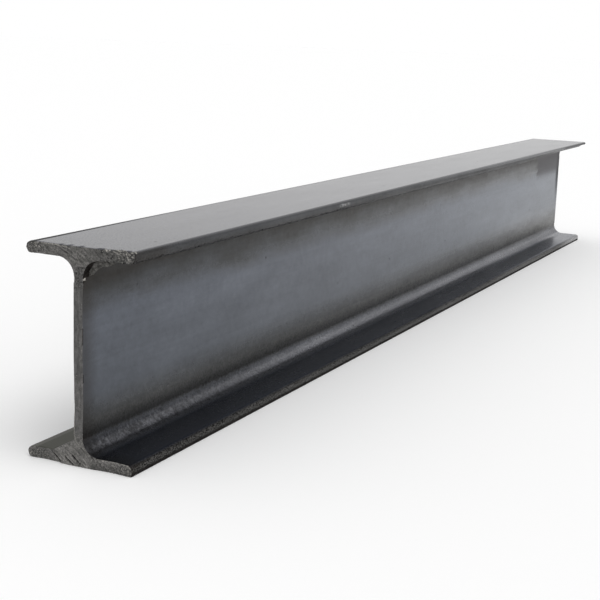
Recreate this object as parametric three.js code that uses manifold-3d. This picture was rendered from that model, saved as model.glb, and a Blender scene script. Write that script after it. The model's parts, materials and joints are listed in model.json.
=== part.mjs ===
// Steel I-beam: a short length of light hot-rolled section, cut off with a hand torch at both ends.
// Millimetres. +X runs along the beam, +Y across its flanges and +Z up.
// The beam stands on its bottom flange, and the origin is the middle of its underside.

import * as THREE from "three";
import { mergeVertices } from "three/addons/utils/BufferGeometryUtils.js";
import Module from "manifold-3d";

// The rolled section. The flanges' faces are parallel.
const BEAM_LENGTH = 840;
const SECTION_DEPTH = 100;
const FLANGE_WIDTH = 56;
const FLANGE_THICKNESS = 5.4;
const WEB_THICKNESS = 4.7;
const ROOT_RADIUS = 8.5;
const FRONT_INNER_TOE_RADIUS = 2.4;
const FRONT_OUTER_TOE_RADIUS = 1.2;
const BACK_TOE_RADIUS = 2.5;

// A toe's rounding takes at most this share of the flange's thickness from either face.
const LARGEST_TOE_SHARE = 0.48;

// The torch crosses each flange in one pass and runs down the web in another.
// Its hand-held drift along the beam leaves each face of the cut slightly waved.
const FLANGE_DRIFT = 0.7;
const FLANGE_DRIFT_PITCH = 37;
const WEB_DRIFT = 0.5;
const WEB_DRIFT_PITCH = 61;
const NEAR_END_PHASE = 0;
const FAR_END_PHASE = 2.1;

// The near end's bottom pass stopped once. What it cut first, by the back toe, is flat and a step farther in.
// The step starts this far from the toe on the underside, and leans by so much for each unit of height.
const STEP_FROM_TOE = 17.8;
const STEP_SLANT = 0.95;
const STEP_DEPTH = 1.3;

// Slag blown down through the near end's cut froze as a curtain in the front upper root, behind the end face.
// It runs down the web and out along the flange, and its free edge is hollow.
const CURTAIN_BEHIND_END = 2.2;
const CURTAIN_THICKNESS = 1.4;
const CURTAIN_ON_WEB = 9.1;
const CURTAIN_ON_FLANGE = 16;
const CURTAIN_HOLLOW_FROM_WEB = 2.5;
const CURTAIN_HOLLOW_BELOW_FLANGE = 3.45;
const CURTAIN_ROUNDING = 0.4;

// More of it filled the back lower root as a straight-edged lip, and the torch left that flush with the end.
const LIP_THICKNESS = 2.6;
const LIP_ON_WEB = 7.3;
const LIP_ON_FLANGE = 12.15;
const LIP_ROUNDING = 0.25;

// How far both reach into the steel, so that they are one body with it.
const SLAG_ROOT = 1;

// How finely the curves and the cuts are faceted.
const ARC_SEGMENTS = 5;
const CUT_CELL = 1.3;
const CUTTER_MARGIN = 6;

// The blank's extra length at each end, all of which the torch takes off.
const CUT_ALLOWANCE = 3;

const wasm = await Module();
wasm.setup();

// The turn that lays a section drawn in x and y across the beam, so that it is extruded along X.
const ALONG_BEAM = new THREE.Matrix4().makeBasis(
  new THREE.Vector3(0, 1, 0),
  new THREE.Vector3(0, 0, 1),
  new THREE.Vector3(1, 0, 0),
);

// One side of the section from the underside up, as square corners that each have a radius.
// The side is 1 for the back, +Y, and -1 for the front.
function sideCorners(side, outerToeRadius, innerToeRadius) {
  const largestToeRadius = LARGEST_TOE_SHARE * FLANGE_THICKNESS;
  const outerRadius = Math.min(outerToeRadius, largestToeRadius);
  const innerRadius = Math.min(innerToeRadius, largestToeRadius);
  const toe = (side * FLANGE_WIDTH) / 2;
  const web = (side * WEB_THICKNESS) / 2;
  const flangeTop = FLANGE_THICKNESS;
  const flangeUnderside = SECTION_DEPTH - FLANGE_THICKNESS;
  return [
    { at: new THREE.Vector2(toe, 0), radius: outerRadius },
    { at: new THREE.Vector2(toe, flangeTop), radius: innerRadius },
    { at: new THREE.Vector2(web, flangeTop), radius: ROOT_RADIUS },
    { at: new THREE.Vector2(web, flangeUnderside), radius: ROOT_RADIUS },
    { at: new THREE.Vector2(toe, flangeUnderside), radius: innerRadius },
    { at: new THREE.Vector2(toe, SECTION_DEPTH), radius: outerRadius },
  ];
}

// The whole section: the back's corners upwards, then the front's downwards.
function sectionShape() {
  const backCorners = sideCorners(1, BACK_TOE_RADIUS, BACK_TOE_RADIUS);
  const frontCorners = sideCorners(-1, FRONT_OUTER_TOE_RADIUS, FRONT_INNER_TOE_RADIUS);
  const corners = [...backCorners, ...frontCorners.reverse()];
  const shape = new THREE.Shape();
  corners.forEach(({ at, radius }, i) => {
    const last = corners.at(i - 1).at;
    const next = corners[(i + 1) % corners.length].at;
    const toLast = last.clone().sub(at).normalize();
    const toNext = next.clone().sub(at).normalize();
    const centre = at.clone().addScaledVector(toLast, radius).addScaledVector(toNext, radius);
    const fromAngle = toNext.clone().negate().angle();
    const toAngle = toLast.clone().negate().angle();
    const clockwise = toNext.cross(toLast) < 0;
    shape.absarc(centre.x, centre.y, radius, fromAngle, toAngle, clockwise);
  });
  return shape;
}

// A closed three.js geometry as a solid that can be cut.
function toSolid(geometry) {
  const bare = geometry.clone();
  bare.deleteAttribute("normal");
  bare.deleteAttribute("uv");
  const merged = mergeVertices(bare, 1e-4);
  const vertProperties = merged.attributes.position.array;
  const triVerts = new Uint32Array(merged.index.array);
  return new wasm.Manifold(new wasm.Mesh({ numProp: 3, vertProperties, triVerts }));
}

// A solid as a flat-shaded three.js geometry.
function toGeometry(solid) {
  const { vertProperties, triVerts } = solid.getMesh();
  const indexed = new THREE.BufferGeometry();
  indexed.setAttribute("position", new THREE.BufferAttribute(vertProperties, 3));
  indexed.setIndex(new THREE.BufferAttribute(triVerts, 1));
  const geometry = indexed.toNonIndexed();
  geometry.computeVertexNormals();
  return geometry;
}

// The straight rolled bar that the beam is cut from.
function rolledBar() {
  const barLength = BEAM_LENGTH + 2 * CUT_ALLOWANCE;
  const geometry = new THREE.ExtrudeGeometry(sectionShape(), {
    depth: barLength,
    steps: 1,
    curveSegments: ARC_SEGMENTS,
    bevelEnabled: false,
  });
  geometry.translate(0, 0, -barLength / 2);
  geometry.applyMatrix4(ALONG_BEAM);
  return toSolid(geometry);
}

// Slag as a sheet across the beam: its outline, its thickness along the beam and where that starts.
function slagSheet(outline, startX, thickness, rounding) {
  const geometry = new THREE.ExtrudeGeometry(outline, {
    depth: thickness,
    steps: 1,
    curveSegments: 2 * ARC_SEGMENTS,
    bevelThickness: rounding,
    bevelSize: rounding,
    bevelSegments: 2,
  });
  geometry.translate(0, 0, startX);
  geometry.applyMatrix4(ALONG_BEAM);
  return toSolid(geometry);
}

// The curtain of slag in the corner between the web and the top flange, on the front.
// Its outline starts and ends inside the steel, by its root.
function slagCurtain() {
  const web = -WEB_THICKNESS / 2;
  const underside = SECTION_DEPTH - FLANGE_THICKNESS;
  const outline = new THREE.Shape();
  outline.moveTo(web, underside - CURTAIN_ON_WEB);
  outline.quadraticCurveTo(
    web - CURTAIN_HOLLOW_FROM_WEB,
    underside - CURTAIN_HOLLOW_BELOW_FLANGE,
    web - CURTAIN_ON_FLANGE,
    underside,
  );
  outline.lineTo(web - CURTAIN_ON_FLANGE, underside + SLAG_ROOT);
  outline.lineTo(web + SLAG_ROOT, underside + SLAG_ROOT);
  outline.lineTo(web + SLAG_ROOT, underside - CURTAIN_ON_WEB);
  const startX = CURTAIN_BEHIND_END + CURTAIN_ROUNDING - BEAM_LENGTH / 2;
  return slagSheet(outline, startX, CURTAIN_THICKNESS, CURTAIN_ROUNDING);
}

// The lip of slag in the corner between the web and the bottom flange, on the back.
// It starts in front of the end, and the cut trims it.
function slagLip() {
  const web = WEB_THICKNESS / 2;
  const flangeTop = FLANGE_THICKNESS;
  const outline = new THREE.Shape();
  outline.moveTo(web, flangeTop + LIP_ON_WEB);
  outline.lineTo(web + LIP_ON_FLANGE, flangeTop);
  outline.lineTo(web + LIP_ON_FLANGE, flangeTop - SLAG_ROOT);
  outline.lineTo(web - SLAG_ROOT, flangeTop - SLAG_ROOT);
  outline.lineTo(web - SLAG_ROOT, flangeTop + LIP_ON_WEB);
  const startX = -CUT_ALLOWANCE - BEAM_LENGTH / 2;
  return slagSheet(outline, startX, CUT_ALLOWANCE + LIP_THICKNESS, LIP_ROUNDING);
}

// A wave that touches nought and goes as deep as its drift.
function driftWave(drift, pitch, distance, phase) {
  return (drift / 2) * (1 - Math.cos((2 * Math.PI * distance) / pitch + phase));
}

// The depth of a cut behind the end plane: the flange passes near the top and bottom, else the web's.
function passDepth(y, z, phase) {
  const rootHeight = FLANGE_THICKNESS + ROOT_RADIUS;
  const fromFace = Math.min(z, SECTION_DEPTH - z);
  const webShare = THREE.MathUtils.smoothstep(fromFace, FLANGE_THICKNESS, rootHeight);
  const flangePass = driftWave(FLANGE_DRIFT, FLANGE_DRIFT_PITCH, y, phase);
  const webPass = driftWave(WEB_DRIFT, WEB_DRIFT_PITCH, z, phase);
  return THREE.MathUtils.lerp(flangePass, webPass, webShare);
}

// What the torch removes at one end: a block whose inner face follows the depth of the cut.
function endCutter(direction, phase) {
  const thick = 2 * CUT_ALLOWANCE;
  const wide = FLANGE_WIDTH + 2 * CUTTER_MARGIN;
  const tall = SECTION_DEPTH + 2 * CUTTER_MARGIN;
  const across = Math.round(wide / CUT_CELL);
  const up = Math.round(tall / CUT_CELL);
  const geometry = new THREE.BoxGeometry(thick, wide, tall, 1, across, up);
  geometry.translate((direction * thick) / 2, 0, SECTION_DEPTH / 2);
  const position = geometry.attributes.position;
  for (let i = 0; i < position.count; i += 1) {
    const isInnerFace = Math.abs(position.getX(i)) < thick / 2;
    const depth = isInnerFace ? passDepth(position.getY(i), position.getZ(i), phase) : 0;
    position.setX(i, position.getX(i) + direction * (BEAM_LENGTH / 2 - depth));
  }
  return toSolid(geometry);
}

// What more the near end's bottom pass removes, on the back side of the slanting step.
function stepCutter() {
  const toe = FLANGE_WIDTH / 2;
  const under = -CUTTER_MARGIN;
  const over = FLANGE_THICKNESS + CUTTER_MARGIN;
  const outline = new THREE.Shape();
  outline.moveTo(toe - STEP_FROM_TOE + STEP_SLANT * under, under);
  outline.lineTo(toe + CUTTER_MARGIN, under);
  outline.lineTo(toe + CUTTER_MARGIN, over);
  outline.lineTo(toe - STEP_FROM_TOE + STEP_SLANT * over, over);
  const geometry = new THREE.ExtrudeGeometry(outline, {
    depth: CUT_ALLOWANCE + STEP_DEPTH,
    bevelEnabled: false,
  });
  geometry.translate(0, 0, -CUT_ALLOWANCE - BEAM_LENGTH / 2);
  geometry.applyMatrix4(ALONG_BEAM);
  return toSolid(geometry);
}

// The beam: the rolled bar and its slag, with both ends cut off.
function beamGeometry() {
  const bar = rolledBar().add(slagCurtain()).add(slagLip());
  const cutters = [endCutter(-1, NEAR_END_PHASE), endCutter(1, FAR_END_PHASE), stepCutter()];
  return toGeometry(cutters.reduce((left, cutter) => left.subtract(cutter), bar));
}

const hotRolledSteel = new THREE.MeshStandardMaterial({
  color: 0x74767a,
  roughness: 0.45,
  metalness: 0.9,
});

const beam = new THREE.Mesh(beamGeometry(), hotRolledSteel);
beam.name = "i_beam";

const part = new THREE.Group();
part.add(beam);

export default part;
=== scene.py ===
# %% [markdown]
# # A short length of hot-rolled steel I-beam
#
# A mill rolls this section from a white-hot bar, so its surfaces are smooth and its inner corners are round.
# A hand torch then cut it to length, and the two end faces keep the marks of the flame.
# This lesson models it as one solid piece of steel, and gives each kind of surface a material of its own.

# %% Load the fixed frame
import json
import math
import random

import bmesh
import bpy
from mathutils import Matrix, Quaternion, Vector, noise

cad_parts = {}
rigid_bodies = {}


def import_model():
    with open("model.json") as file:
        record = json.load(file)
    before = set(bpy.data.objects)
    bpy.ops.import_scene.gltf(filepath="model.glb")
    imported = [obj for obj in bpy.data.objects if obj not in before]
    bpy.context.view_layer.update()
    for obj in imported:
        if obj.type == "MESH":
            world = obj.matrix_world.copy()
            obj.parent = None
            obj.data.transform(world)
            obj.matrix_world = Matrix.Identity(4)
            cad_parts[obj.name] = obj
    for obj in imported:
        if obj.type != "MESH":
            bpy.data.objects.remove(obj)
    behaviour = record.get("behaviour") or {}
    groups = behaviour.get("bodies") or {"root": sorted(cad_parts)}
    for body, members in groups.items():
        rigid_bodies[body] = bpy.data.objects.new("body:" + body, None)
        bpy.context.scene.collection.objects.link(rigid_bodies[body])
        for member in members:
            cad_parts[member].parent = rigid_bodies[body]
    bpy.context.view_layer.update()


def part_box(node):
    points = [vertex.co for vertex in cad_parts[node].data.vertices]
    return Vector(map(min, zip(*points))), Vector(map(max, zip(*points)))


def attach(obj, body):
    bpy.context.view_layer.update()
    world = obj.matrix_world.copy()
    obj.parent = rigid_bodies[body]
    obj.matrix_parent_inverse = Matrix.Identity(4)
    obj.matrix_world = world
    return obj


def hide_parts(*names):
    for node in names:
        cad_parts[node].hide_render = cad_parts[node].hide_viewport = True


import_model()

MM = 0.001
low_corner, high_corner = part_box("i_beam")
beam_length, flange_width, section_depth = high_corner - low_corner
print("the beam is", [round(side / MM, 1) for side in (beam_length, flange_width, section_depth)], "mm")

# %% [markdown]
# ## The camera
#
# The camera stands low beside the near end and looks along the beam, a little downwards, so that the section shows
# full on at the left and the length runs away to the right. Its place is measured from the near end. A quaternion
# first points it, and then rolls it a little about its own line of sight, as a hand-held camera is.

# %% Camera
NEAR_END_X = -beam_length / 2
FAR_END_X = beam_length / 2
CAMERA_BEFORE_END = 447.65 * MM
CAMERA_ASIDE = 315.08 * MM
CAMERA_HEIGHT = 190.81 * MM
CAMERA_YAW = math.radians(24.972)
CAMERA_DOWN = math.radians(11.614)
CAMERA_ROLL = math.radians(2.096)
LENS = 75.88
FILM_WIDTH = 36

camera_data = bpy.data.cameras.new("camera")
camera_data.lens = LENS
camera_data.sensor_width = FILM_WIDTH
camera = bpy.data.objects.new("camera", camera_data)
bpy.context.scene.collection.objects.link(camera)
sight = Vector((
    math.cos(CAMERA_DOWN) * math.cos(CAMERA_YAW),
    math.cos(CAMERA_DOWN) * math.sin(CAMERA_YAW),
    -math.sin(CAMERA_DOWN),
))
camera.location = (NEAR_END_X - CAMERA_BEFORE_END, -CAMERA_ASIDE, CAMERA_HEIGHT)
camera.rotation_mode = "QUATERNION"
camera.rotation_quaternion = sight.to_track_quat("-Z", "Y") @ Quaternion((0, 0, 1), CAMERA_ROLL)
bpy.context.scene.camera = camera
bpy.context.scene.view_settings.view_transform = "Standard"
print("the camera is", round(camera.location.length, 3), "m from the middle of the beam")

# %% [markdown]
# ## Colours and nodes
#
# Colours are written as sRGB hex values, as a paint program shows them, but Blender's nodes work in linear light, so
# one function turns one into the other. A second adds a node with its settings and links, and a third names the four
# limits of a Map Range node, which turns one range of numbers into another.

# %% Helpers for materials
WHITE = "#FFFFFF"


def linear(hex_colour):
    """The four linear channels of an sRGB hex colour."""
    channels = [int(hex_colour[i:i + 2], 16) / 255 for i in (1, 3, 5)]
    lit = [c / 12.92 if c <= 0.04045 else ((c + 0.055) / 1.055) ** 2.4 for c in channels]
    return (*lit, 1.0)


def add_node(tree, kind, inputs=None, **settings):
    """Adds a node with settings. An input is a value, a socket, or a node whose first live output is linked."""
    node = tree.nodes.new("ShaderNode" + kind)
    for name, value in settings.items():
        setattr(node, name, value)
    for name, value in (inputs or {}).items():
        if isinstance(value, bpy.types.Node):
            value = next(socket for socket in value.outputs if socket.enabled)
        if isinstance(value, bpy.types.NodeSocket):
            tree.links.new(value, node.inputs[name])
        else:
            node.inputs[name].default_value = value
    return node


def span(low, high, least=0.0, most=1.0):
    """The inputs with which a Map Range turns low to high into least to most."""
    return {"From Min": low, "From Max": high, "To Min": least, "To Max": most}


def new_material(name):
    """A material with an empty node tree."""
    material = bpy.data.materials.new(name)
    material.use_nodes = True
    material.node_tree.nodes.clear()
    return material, material.node_tree


print("white is", linear(WHITE), "in linear light")

# %% [markdown]
# ## Floor, sky and lamp
#
# Steel shows its surroundings more than its own colour, so the studio matters as much as the material. The floor is a
# plain pale card, and it keeps the beam's shadow. Only rays from the camera and mirrored rays see it as pure white,
# so it scatters no more light onto the steel than a real card does.

# %% Floor
FLOOR_SIZE = 60.0
PAPER = "#F0F0F0"

bpy.ops.object.select_all(action="DESELECT")
bpy.ops.mesh.primitive_plane_add(size=FLOOR_SIZE, location=(0, 0, 0))
floor = bpy.context.active_object
floor.name = "floor"
paper, tree = new_material("matt_white_paper")
path = add_node(tree, "LightPath")
seen = path.outputs["Is Camera Ray"]
for ray in ("Is Glossy Ray", "Is Transmission Ray"):
    seen = add_node(tree, "Math", {0: seen, 1: path.outputs[ray]}, operation="MAXIMUM")
colour = add_node(tree, "Mix", {"Factor": seen, "A": linear(PAPER), "B": linear(WHITE)}, data_type="RGBA")
card = add_node(tree, "BsdfDiffuse", {"Color": colour})
add_node(tree, "OutputMaterial", {"Surface": card})
floor.data.materials.append(paper)
print("the floor is", FLOOR_SIZE, "m wide")

# %% [markdown]
# The sky is white at the horizon and a little greyer from ten degrees up, as a studio's is above its backdrop. The
# web mirrors the horizon and the top flange the greyer sky, and that is why one is darker than the other.

# %% Sky
WHITE_UP_TO = math.sin(math.radians(3))
GREY_FROM = math.sin(math.radians(10))
OVERHEAD = "#DADADA"

world = bpy.context.scene.world or bpy.data.worlds.new("world")
bpy.context.scene.world = world
world.use_nodes = True
tree = world.node_tree
tree.nodes.clear()
direction = add_node(tree, "TexCoord")
height = add_node(tree, "SeparateXYZ", {0: direction.outputs["Generated"]})
climb = add_node(tree, "MapRange", {"Value": height.outputs["Z"], **span(WHITE_UP_TO, GREY_FROM)},
                 interpolation_type="SMOOTHSTEP")
colour = add_node(tree, "Mix", {"Factor": climb, "A": linear(WHITE), "B": linear(OVERHEAD)}, data_type="RGBA")
sky = add_node(tree, "Background", {"Color": colour, "Strength": 1.0})
add_node(tree, "OutputWorld", {"Surface": sky})
print("nodes in the sky:", len(tree.nodes))

# %% [markdown]
# One lamp, a sun as wide as a wall of windows, shines down past the near end from the front. It gives the beam a
# soft shadow, and its slant shows up the lumps of the cut.

# %% Lamp
SUN_STRENGTH = 1.0
SUN_WIDTH = math.radians(50)
SUN_AIM = Vector((0.25, 0.35, -1))

sun_data = bpy.data.lights.new("big_soft_light", "SUN")
sun_data.energy = SUN_STRENGTH
sun_data.angle = SUN_WIDTH
sun = bpy.data.objects.new("big_soft_light", sun_data)
bpy.context.scene.collection.objects.link(sun)
sun.rotation_mode = "QUATERNION"
sun.rotation_quaternion = SUN_AIM.to_track_quat("-Z", "Y")

# %% [markdown]
# ## The section as a flat sheet
#
# The mill's rolls press one bar into a web with two flanges, so every cross-section along the beam is the same. A
# shape like that is drawn once and extruded. The drawing starts as a plane of the section's full size that stands
# across the beam. Bisects mark out the web and the flanges in it, and the two channels are faces to delete.
#
# Faces and vertices are picked by their place or their normal. An operator acts on what is selected in a selection
# mode, so one helper sets the mode and picks in one go.

# %% Section sheet
WEB_SIDE = 4.7 * MM / 2
TOE_SIDE = flange_width / 2
FLANGE = 5.4 * MM
UPPER_FLANGE = section_depth - FLANGE
CLOSE = 1e-6
NEARLY_STRAIGHT = 0.01

bpy.ops.object.select_all(action="DESELECT")
bpy.ops.mesh.primitive_plane_add(size=1, location=(NEAR_END_X, 0, section_depth / 2), rotation=(0, math.pi / 2, 0))
beam = bpy.context.active_object
beam.name = "rolled_beam"
beam.dimensions = (section_depth, flange_width, 0)
bpy.ops.object.transform_apply(location=True, rotation=True, scale=True)


def pick(kind, test, within=False, facing=None):
    """Selects the visible faces or vertices whose place passes a test, and their normal another, and counts them."""
    bpy.ops.mesh.select_mode(type=kind)
    mesh = bmesh.from_edit_mesh(beam.data)
    elements = mesh.faces if kind == "FACE" else mesh.verts
    chosen = [e for e in elements if not e.hide and (e.select or not within)
              and test(e.calc_center_median() if kind == "FACE" else e.co) and (not facing or facing(e.normal))]
    bpy.ops.mesh.select_all(action="DESELECT")
    for element in chosen:
        element.select_set(True)
    mesh.select_flush_mode()
    bmesh.update_edit_mesh(beam.data)
    return len(chosen)


def count_faces():
    return len(bmesh.from_edit_mesh(beam.data).faces)


def slice_all(place, normal):
    """Cuts everything along a plane, and keeps both sides."""
    bpy.ops.mesh.select_all(action="SELECT")
    bpy.ops.mesh.bisect(plane_co=place, plane_no=normal)


bpy.ops.object.mode_set(mode="EDIT")
bpy.ops.mesh.select_mode(type="FACE")
for y in (-WEB_SIDE, WEB_SIDE):
    slice_all((0, y, 0), (0, 1, 0))
for z in (FLANGE, UPPER_FLANGE):
    slice_all((0, 0, z), (0, 0, 1))
channels = pick("FACE", lambda place: abs(place.y) > WEB_SIDE and FLANGE < place.z < UPPER_FLANGE)
bpy.ops.mesh.delete(type="FACE")
bpy.ops.mesh.select_all(action="SELECT")
bpy.ops.mesh.dissolve_limited(angle_limit=NEARLY_STRAIGHT)
print("channels cut away:", channels)

# %% [markdown]
# ## Round roots and toes
#
# Steel can't be rolled into a sharp inner corner, so a wide fillet joins the web to each flange. The flanges' outer
# edges, called toes, are rounded too. A bevel of a corner vertex of a flat sheet draws exactly such an arc, and its
# offset is the arc's radius. The back toes of this bar are almost fully round, and the front ones are crisper.

# %% Rounded corners
ROOT_RADIUS = 8.5 * MM
FRONT_TOP_TOE = 2.0 * MM
FRONT_FOOT_TOE = 0.5 * MM
FRONT_INNER_TOE = 2.4 * MM
BACK_TOE = 2.5 * MM


def round_corners(radius, segments, test):
    count = pick("VERT", test)
    bpy.ops.mesh.bevel(offset=radius, offset_type="OFFSET", segments=segments, affect="VERTICES")
    print("rounded", count, "corners by", round(radius / MM, 2), "mm")


def at_front(place, level):
    """Whether a point is on the front toes' plane, this far in from the section's top or bottom."""
    return abs(place.y + TOE_SIDE) < CLOSE and abs(min(place.z, section_depth - place.z) - level) < CLOSE


round_corners(ROOT_RADIUS, 24, lambda place: abs(abs(place.y) - WEB_SIDE) < CLOSE)
round_corners(BACK_TOE, 10, lambda place: abs(place.y - TOE_SIDE) < CLOSE)
round_corners(FRONT_TOP_TOE, 8, lambda place: at_front(place, 0) and place.z > FLANGE)
round_corners(FRONT_FOOT_TOE, 4, lambda place: at_front(place, 0) and place.z < FLANGE)
round_corners(FRONT_INNER_TOE, 8, lambda place: at_front(place, FLANGE))

# %% [markdown]
# ## Slag in two of the roots
#
# A torch blows molten steel out of its cut, and some of it freezes in the roots as slag. In the back lower root the
# torch also cut through the slag, so the end face reaches out over it: this is the lip. In the front upper root the
# slag hangs as a thin sheet, the curtain, a little behind the end.
#
# Each closes a corner of the section, so it starts as a face of the same sheet: the vertices of the fillet's arc are
# picked, and a new face joins the two ends of the arc by a straight edge.

# %% Slag sheets
LIP_ON_WEB = 7.3 * MM
LIP_ON_FLANGE = 12.15 * MM
CURTAIN_ON_WEB = 9.1 * MM
CURTAIN_ON_FLANGE = 16.0 * MM
SKIN = 0.01 * MM


def between(low, value, high):
    """Whether a value lies between two others, or as close as rounding may have put it."""
    return low - CLOSE < value < high + CLOSE


slice_all((0, WEB_SIDE + LIP_ON_FLANGE, 0), (0, 1, 0))
slice_all((0, -WEB_SIDE - CURTAIN_ON_FLANGE, 0), (0, 1, 0))
pick("VERT", lambda place: between(WEB_SIDE, place.y, WEB_SIDE + LIP_ON_FLANGE)
     and between(FLANGE, place.z, FLANGE + LIP_ON_WEB))
bpy.ops.mesh.edge_face_add()
pick("VERT", lambda place: between(WEB_SIDE, -place.y, WEB_SIDE + CURTAIN_ON_FLANGE)
     and between(UPPER_FLANGE - CURTAIN_ON_WEB, place.z, UPPER_FLANGE))
bpy.ops.mesh.edge_face_add()


def in_slag(place):
    """Whether a point is outside the rolled section, and so in one of the two slag sheets."""
    aside = abs(place.y) - WEB_SIDE
    clear = min(place.z - FLANGE, UPPER_FLANGE - place.z)
    if min(aside, clear) < SKIN:
        return False
    if max(aside, clear) > ROOT_RADIUS:
        return True
    return math.hypot(ROOT_RADIUS - aside, ROOT_RADIUS - clear) < ROOT_RADIUS - SKIN


def in_curtain(place):
    return place.y < 0 and in_slag(place)


print("faces in the sheet:", count_faces())

# %% [markdown]
# ## A grid fine enough to carve
#
# The cut faces need small, even cells that can be pushed about like clay. Subdividing these many-sided faces would
# give long slivers, so they are sliced at even steps up and across instead. Slices that pass close to an old corner
# leave tiny edges, and merging by distance closes them.

# %% Carving grid
CELL = 0.32 * MM

for i in range(1, round(flange_width / CELL)):
    slice_all((0, i * CELL - TOE_SIDE, 0), (0, 1, 0))
for i in range(1, round(section_depth / CELL)):
    slice_all((0, 0, i * CELL), (0, 0, 1))
bpy.ops.mesh.select_all(action="SELECT")
bpy.ops.mesh.remove_doubles(threshold=CELL / 4)
print("grid cells:", count_faces())

# %% [markdown]
# ## Materials of the sheet
#
# Six materials meet here: the mill's smooth scale, the torch's rough cut, frozen slag, a near-black one for painted
# shade and grime, rubbed burrs with painted highlights, and spatter with painted glints. They are made as empty trees
# now and filled in further down. An extruded wall takes the material of the face it grows from, so the curtain's
# faces are marked while they are easy to pick. Where the curtain meets the steel there is a crevice, and its faces
# get painted shade in the near-black material, in a band which narrows along the flange.

# %% Material slots
SCALE_SLOT, CUT_SLOT, SLAG_SLOT, SHADE_AND_GRIME_SLOT, BURR_AND_GLINT_SLOT, SPATTER_AND_GLINT_SLOT = range(6)
CREVICE_WIDTH = 1.5 * MM
CREVICE_NARROWS_FROM = -2.1 * MM
CREVICE_TAPER = 7 * MM
CREVICE_LEAST = 0.15
DIAGONAL = 0.7

mill_scale, scale_tree = new_material("hot_rolled_mill_scale")
torch_cut, cut_tree = new_material("torch_cut_steel")
slag, slag_tree = new_material("cutting_slag")
shade_and_grime, shade_and_grime_tree = new_material("painted_shade_and_grime")
burr_and_glint, burr_and_glint_tree = new_material("rubbed_burr_and_painted_glint")
spatter_and_glint, spatter_and_glint_tree = new_material("frozen_spatter_and_painted_glint")
for material in (mill_scale, torch_cut, slag, shade_and_grime, burr_and_glint, spatter_and_glint):
    beam.data.materials.append(material)


def assign(slot):
    beam.active_material_index = slot
    bpy.ops.object.material_slot_assign()


def in_crevice(place):
    """Whether a point of the curtain is no farther from the steel than the crevice is wide."""
    share = min(1, max(CREVICE_LEAST, 1 + (place.y - CREVICE_NARROWS_FROM) / CREVICE_TAPER))
    reach = CREVICE_WIDTH * share * DIAGONAL
    return not in_slag(place + Vector((0, reach, reach)))


bpy.ops.mesh.select_all(action="SELECT")
assign(CUT_SLOT)
print("curtain cells:", pick("FACE", in_curtain))
assign(SLAG_SLOT)
# painted shade: the crevice's faces get the near-black material
print("crevice cells:", pick("FACE", in_crevice, within=True))
assign(SHADE_AND_GRIME_SLOT)

# %% [markdown]
# ## The near end
#
# The flame leaves a rough face: the hand drifts, each puff of oxygen leaves a fine drag line, and where the torch
# was slow the steel melted into beads and pits.
#
# The face is carved while it is a flat sheet with nothing behind it. The extrusion then copies the carved sheet
# backwards, so that no mark, however deep, can poke through the layers behind. A groove is a proportional move of the
# vertices along a line. The broad shapes come first: two dips of the hand's drift on each flange, one on the web, and
# the slope where the torch was tipped at the top flange's front corner.

# %% Near end: grooves
INTO = 1  # positive X runs into the bar at this end
DRIFT = 0.7
WEB_DRIFT = 0.5
TIP_SLOPE = 2.0
MID_FLANGES = (2.7, 97.3)
HALF_DIP = 3


def along(start, end, reach):
    """A test for vertices within reach of the line between two points of the sheet, given as (y, z) in mm."""
    a, b = Vector(start) * MM, Vector(end) * MM
    run = b - a
    low = [min(p, q) - reach for p, q in zip(a, b)]
    high = [max(p, q) + reach for p, q in zip(a, b)]

    def test(place):
        if not (low[0] <= place.y <= high[0] and low[1] <= place.z <= high[1]):
            return False
        here = place.yz
        share = max(0.0, min(1.0, (here - a).dot(run) / max(run.length_squared, CLOSE ** 2)))
        return (a + run * share - here).length <= reach

    return test


def push(shift, width, falloff="SMOOTH"):
    """Moves the selection, and less and less of what is around it, out to this width. Sizes are in mm."""
    bpy.ops.transform.translate(value=[step * MM for step in shift], use_proportional_edit=True,
                                proportional_edit_falloff=falloff, proportional_size=width * MM)


def groove(start, end, depth, width, falloff="SMOOTH", core=0.6 * CELL):
    """Presses a groove into the bar, this deep and this wide to either side in mm."""
    if pick("VERT", along(start, end, core)):
        push((depth * INTO, 0, 0), width, falloff)


def dip(y, width):
    """Presses one dip of the hand's drift across both flanges. Sizes are in mm."""
    for z in MID_FLANGES:
        groove((y, z - HALF_DIP), (y, z + HALF_DIP), DRIFT, width, core=CELL)


dip(-17, 12)
dip(17, 12)
groove((-2.4, 30.5), (2.4, 30.5), WEB_DRIFT, 25, core=CELL)
groove((-28, 100), (-20, 100), TIP_SLOPE, 5.5, falloff="LINEAR", core=CELL)


def print_depth():
    depths = [v.co.x for v in bmesh.from_edit_mesh(beam.data).verts if not v.hide]
    print("the cut face is", round((max(depths) - min(depths)) / MM, 1), "mm from its highest point to its lowest")


print_depth()

# %% [markdown]
# The bottom flange was cut in a second go, and its back part stands a step deeper. The curtain is pushed back behind
# the end, and the middle of its lower edge is drawn up into an arch.

# %% Near end: step and curtain
STEP_FROM = 10.3 * MM
STEP_LEAN = 0.95
STEP_BACK, STEP_EDGE = (0.75, 0, 0), 0.5  # mm
CURTAIN_BACK = 2.2 * MM
ARCH_RISE, ARCH_WIDTH = (0, 0.5, 1.0), 4  # mm

pick("VERT", lambda place: place.z < FLANGE + CLOSE and place.y > STEP_FROM + STEP_LEAN * place.z)
push(STEP_BACK, STEP_EDGE)
pick("VERT", in_curtain)
bpy.ops.transform.translate(value=(CURTAIN_BACK, 0, 0))
arch = pick("VERT", lambda place: in_curtain(place) and between(9 * MM, -place.y, 11 * MM)
            and place.z < 90.5 * MM)
push(ARCH_RISE, ARCH_WIDTH)
print("points pushed up into the curtain's edge:", arch)

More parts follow.
